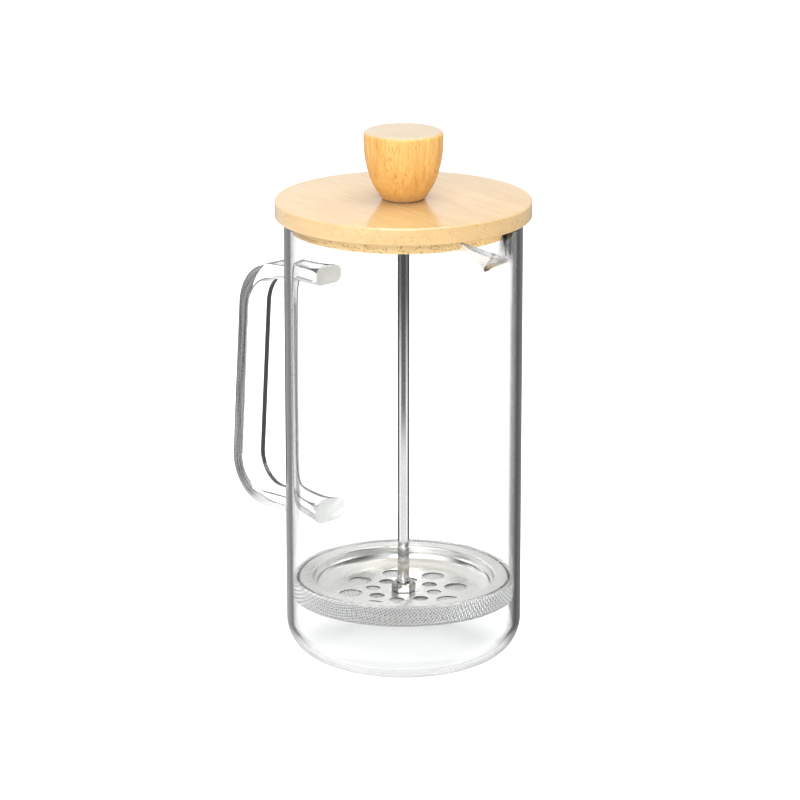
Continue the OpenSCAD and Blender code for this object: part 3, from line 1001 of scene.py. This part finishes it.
def painted_light_streaks(tree, surface):
    """Pale streaks of painted light along the strap, on the outside of the face that looks along -Y."""
    drawn = stretched(tree, add(tree, "ShaderNodeUVMap").outputs[0], (700, 22, 1))
    streaks = noise(tree, drawn, 1, 4, 0.65)
    face = add(tree, "ShaderNodeNewGeometry")
    facing_y = split(tree, face.outputs["Normal"])[1]
    outside = maths(tree, "SUBTRACT", 1.0, face.outputs["Backfacing"])
    side_face = remap(tree, facing_y, -0.7, -0.9)
    # Painted light: a pale diffuse layer in streaks, only where the face is seen from outside.
    painted_streak_amount = times(tree, remap(tree, streaks, 0.38, 0.68, 0.0, 0.36), side_face, outside)
    pale = add(tree, "ShaderNodeBsdfDiffuse", {"Color": (0.85, 0.85, 0.84, 1)}).outputs[0]
    return layered(tree, painted_streak_amount, surface, pale)


def frosted_joint(tree, surface, place, from_axis):
    """The milky face where the strap is fused to the beaker, with a faint painted glow."""
    cloud = noise(tree, place, 300, 3, 0.6)
    grey = mix(tree, remap(tree, cloud, 0.35, 0.65), (0.90, 0.90, 0.88), (0.98, 0.98, 0.96))
    frost = add(tree, "ShaderNodeBsdfDiffuse", {"Color": grey}).outputs[0]
    # Painted light: the frost also glows faintly, though it is no lamp.
    glow = add(tree, "ShaderNodeEmission", {"Color": grey, "Strength": 0.1}).outputs[0]
    frost = add(tree, "ShaderNodeAddShader", {0: frost, 1: glow}).outputs[0]
    fused = remap_mm(tree, from_axis, GLASS_R + 0.1, GLASS_R + 0.3, 0.95, 0.0)
    return layered(tree, fused, surface, frost)


def clear_glass(name, body, edge, start_at, end_at, seed, strap):
    """Clear glass with painted shade where it is seen edge on, and on the beaker a painted image of the
    strap; it lets the lamps' light through.
    """
    made, tree, shader, output = new_material(name)
    place = object_point(tree)
    parts = split(tree, place)
    flat = level(tree, parts)
    from_axis = length(tree, flat)
    side = dot(tree, unit(tree, flat), SCREEN_RIGHT)
    waves = noise(tree, stretched(tree, place, (9, 9, 5), (0, 0, seed)), 1, 2, 0.5)
    facing = add(tree, "ShaderNodeLayerWeight", {"Blend": 0.5}).outputs["Facing"]
    uneven = maths(tree, "ADD", facing, remap(tree, waves, 0.3, 0.7, -0.02, 0.02))
    # Painted shade where the glass is seen edge on.
    shade = edge_shade(tree, uneven, from_axis, side, parts[2], start_at, end_at)
    tint_with_painted_shade = mix(tree, shade, body, edge)
    if not strap:
        # Painted reflection: a dark line on the wall where it would show the strap.
        line = painted_strap_image(tree, uneven, from_axis, side, parts[2])
        tint_with_painted_shade = mix(tree, line, tint_with_painted_shade, (0.07, 0.072, 0.072))
    feed(tree, shader, {"Base Color": tint_with_painted_shade, "Normal": bump(tree, waves, 0.0004, 0.25)})
    shader.inputs["Roughness"].default_value = 0.0
    shader.inputs["IOR"].default_value = 1.47
    shader.inputs["Transmission Weight"].default_value = 1.0
    clear = add(tree, "ShaderNodeBsdfTransparent", {"Color": (0.97, 0.975, 0.97, 1)}).outputs[0]
    surface = layered(tree, thinned(tree, parts), shader.outputs[0], clear)
    if strap:
        surface = painted_light_streaks(tree, surface)
        surface = frosted_joint(tree, surface, place, from_axis)
    through = add(tree, "ShaderNodeBsdfTransparent", {"Color": (0.94, 0.95, 0.95, 1)}).outputs[0]
    shadow = add(tree, "ShaderNodeLightPath").outputs["Is Shadow Ray"]
    tree.links.new(layered(tree, shadow, surface, through), output.inputs["Surface"])
    return made


def make_materials():
    """Every material, by the short name that main and paint_kept_nodes ask for."""
    lid_tones = ((0.74, 0.52, 0.25), (0.65, 0.42, 0.18), (0.42, 0.20, 0.05), (0.70, 0.47, 0.21))
    # The plug is the lid's bamboo, but paler: painted light on it in the shade under the plate.
    plug_tones_with_painted_light = ((1.0, 0.76, 0.38), (0.84, 0.54, 0.22), (0.45, 0.19, 0.04), (0.92, 0.65, 0.29))
    # The knob's last tone, pale and grey, is a painted sheen on its top.
    knob_tones = ((0.93, 0.57, 0.19), (0.66, 0.33, 0.08), (0.42, 0.17, 0.03), (0.60, 0.55, 0.45))
    # The second tone of each glass is its painted shade where it is seen edge on.
    wall_tones = ((0.985, 0.99, 0.99), (0.16, 0.165, 0.165))
    strap_tones = ((0.98, 0.985, 0.985), (0.4, 0.405, 0.405))
    return {
        "beaker": clear_glass("beaker_glass", *wall_tones, 0.64, 0.74, 0.4, False),
        "handle": clear_glass("handle_glass", *strap_tones, 0.55, 0.85, 1.3, True),
        "lid": bamboo("lid_bamboo", lid_tones, "X", (0.15, 0.45, 0.34, 30, 800), (1.0, 0.10, 1.8)),
        "plug": bamboo("plug_bamboo", plug_tones_with_painted_light, "X", (0.6, 0.8, 0.16, 30, 1000), (0.4, 0.2, 1.5)),
        "knob": bamboo("knob_bamboo", knob_tones, "Z", (0.55, 0.1, 0.40, 260, 1300), (0.3, 0.15, 1.5)),
        "rod": steel("rod_steel", (0.72, 0.72, 0.71), 0.03, 0.09, (700, 700, 20)),
        "nut": nut_steel(),
        "collar": steel("collar_steel", (0.66, 0.66, 0.65), 0.1, 0.2, (200, 200, 1500)),
        "bush": steel("bush_steel", (0.62, 0.62, 0.61), 0.12, 0.25, (200, 200, 1500)),
        "plate": plate_steel(),
        "spring": steel("spring_steel", (0.6, 0.6, 0.59), 0.2, 0.35, (900, 900, 900)),
        # The disc's steel is paler than the other steel: painted light for the shade it lies in under the
        # plate.
        "mesh": steel("mesh_steel", (0.92, 0.92, 0.91), 0.25, 0.4, (1500, 1500, 1500), 0.3),
        "skirt": skirt_steel(),
        "eyelet": steel("eyelet_steel", (0.60, 0.60, 0.59), 0.2, 0.35, (300, 300, 900)),
        "cross": steel("cross_steel", (0.62, 0.62, 0.61), 0.22, 0.36, (900, 60, 900)),
        "hub": steel("hub_steel", (0.60, 0.60, 0.59), 0.15, 0.3, (200, 200, 1500)),
        "brass": steel("insert_brass", (0.62, 0.43, 0.16), 0.2, 0.35, (200, 200, 1500)),
    }


def paint_kept_nodes(materials):
    """Gives the four nodes that keep their CAD shape a material and a slot."""
    kept = (("knob_insert", "brass", "insert_brass"), ("mesh_eyelet", "eyelet", "eyelet_steel"),
            ("cross_plate", "cross", "cross_steel"), ("cross_plate_hub", "hub", "hub_steel"))
    for node, key, slot in kept:
        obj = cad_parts[node]
        obj.data.materials.clear()
        obj.data.materials.append(materials[key])


# -------------------------------- studio

def steel_floor(tree, aim, reach):
    """The floor's light for steel behind the glass: bright near the press, dark far off and behind."""
    front = dot(tree, aim, TO_CAMERA)
    ahead = remap(tree, front, -0.3, 0.35, 0.02, 1, True)
    beside = remap(tree, front, 0.5, 0.85, 1.5, 0.15, True)
    middle = times(tree, beside, remap_mm(tree, reach, 360, 660, 1.0, 0.14, True))
    close = remap_mm(tree, reach, 270, 420, 1.15, 0.0, True)
    lit = times(tree, maths(tree, "MAXIMUM", middle, close), ahead)
    return maths(tree, "ADD", lit, 0.06)


def floor_material():
    """White, but darker for light that has been reflected inside the glass or by the steel."""
    made, tree, shader, output = new_material("floor_white")
    shader.inputs["Base Color"].default_value = (0.86, 0.86, 0.86, 1)
    shader.inputs["Roughness"].default_value = 0.9
    shader.inputs["Emission Color"].default_value = (1, 1, 1, 1)
    path = add(tree, "ShaderNodeLightPath").outputs
    own_light = remap(tree, path["Is Diffuse Ray"], 0, 1, 0.72, 0.35)
    tree.links.new(own_light, shader.inputs["Emission Strength"])
    crossed = path["Transmission Depth"]
    mirrored = maths(tree, "GREATER_THAN", path["Glossy Depth"], 0.5)
    place = object_point(tree)
    reach = length(tree, place)
    aim = unit(tree, place)
    outside = remap(tree, dot(tree, aim, SCREEN_LEFT), 0.0, 0.8, 0.38, 0.85, True)
    in_glass = remap_mm(tree, reach, GLASS_R, GLASS_R + 12, 0.9, 0.06, True)
    in_steel = steel_floor(tree, aim, reach)
    by_glass = between(tree, maths(tree, "GREATER_THAN", crossed, PAST_WALL), in_glass, in_steel)
    glow = between(tree, maths(tree, "GREATER_THAN", crossed, 0.5), outside, by_glass)
    seen = add(tree, "ShaderNodeEmission", {"Color": (1, 1, 1, 1), "Strength": glow}).outputs[0]
    tree.links.new(layered(tree, mirrored, shader.outputs[0], seen), output.inputs["Surface"])
    return made


def make_floor():
    """A large white floor, just under the base of the beaker."""
    mesh = bpy.data.meshes.new("floor")
    half = FLOOR_HALF * MM
    corners = [(-half, -half, 0), (half, -half, 0), (half, half, 0), (-half, half, 0)]
    mesh.from_pydata(corners, [], [[0, 1, 2, 3]])
    mesh.materials.append(floor_material())
    floor = add_object("floor", mesh)
    floor.location.z = -FLOOR_DROP * MM


def make_world():
    """An even white room with brighter and darker walls, which the steel reflects."""
    world = bpy.data.worlds.new("studio")
    bpy.context.scene.world = world
    world.use_nodes = True
    tree = world.node_tree
    back = tree.nodes["Background"]
    direction = add(tree, "ShaderNodeTexCoord").outputs["Generated"]
    room = None
    panels = (((0.1, -1.0, 0.35), 0.80, 0.97, 0.6), ((-1.0, 0.2, 0.3), 0.80, 0.96, 0.3),
              ((1.0, 0.55, 0.2), 0.66, 0.98, -0.74), ((-0.75, -0.9, 0.1), 0.76, 0.99, -0.74))
    for (x, y, z), low, high, strength in panels:
        far = math.sqrt(x * x + y * y + z * z)
        towards = dot(tree, direction, (x / far, y / far, z / far))
        panel = remap(tree, towards, low, high, 0, strength, True)
        room = panel if room is None else maths(tree, "ADD", room, panel)
    room = maths(tree, "ADD", room, 0.78)
    path = add(tree, "ShaderNodeLightPath").outputs
    mirrored = maths(tree, "GREATER_THAN", path["Glossy Depth"], 0.5)
    crossed = path["Transmission Depth"]
    past_first = maths(tree, "GREATER_THAN", crossed, 0.5)
    in_glass = times(tree, past_first, maths(tree, "LESS_THAN", crossed, PAST_WALL))
    to_right = remap(tree, dot(tree, direction, SCREEN_RIGHT), 0.1, 0.5, 0, 1, True)
    trapped = times(tree, mirrored, in_glass, to_right)
    room = times(tree, room, remap(tree, trapped, 0, 1, 1, 0.25))
    tree.links.new(room, back.inputs["Strength"])
    back.inputs["Color"].default_value = (1, 1, 1, 1)


def make_lamp(name, place, size, power):
    """A soft square lamp that looks at the middle of the press."""
    data = bpy.data.lights.new(name, "AREA")
    data.shape = "RECTANGLE"
    data.size = size
    data.size_y = size
    data.energy = power
    lamp = add_object(name, data)
    lamp.location = place
    aim = np.array((0, 0, LAMP_AIM_Z * MM)) - np.array(place)
    flat = math.hypot(aim[0], aim[1])
    lamp.rotation_euler = (math.atan2(flat, -aim[2]), 0, math.atan2(aim[1], aim[0]) - math.pi / 2)


def make_camera():
    """The photo's camera, solved from the outlines of the lid, the glass and the filter."""
    data = bpy.data.cameras.new("camera")
    data.sensor_width = 36
    data.lens = 185.3
    data.shift_x = -0.0042
    data.clip_end = 50
    camera = add_object("camera", data)
    camera.location = (1.2347, -1.1275, 0.5891)
    camera.rotation_euler = (math.radians(74.05), 0, math.radians(47.6))
    bpy.context.scene.camera = camera


def main():
    materials = make_materials()
    build_beaker(materials["beaker"])
    build_handle(materials["handle"])
    build_lid_plate(materials["lid"])
    build_lid_plug(materials["plug"])
    build_bush(materials["bush"])
    build_knob(materials["knob"])
    build_rod(materials["rod"])
    build_nut(materials["nut"])
    build_collar(materials["collar"])
    build_plate(materials["plate"])
    build_spring(materials["spring"])
    build_mesh(materials["mesh"], materials["skirt"])
    paint_kept_nodes(materials)
    make_floor()
    make_world()
    make_lamp("key", (1.25, -1.25, 1.3), 1.2, 20)
    make_lamp("top", (0.2, 0.2, 2.2), 1.6, 26)
    bpy.context.scene.view_settings.view_transform = "Standard"
    make_camera()


main()
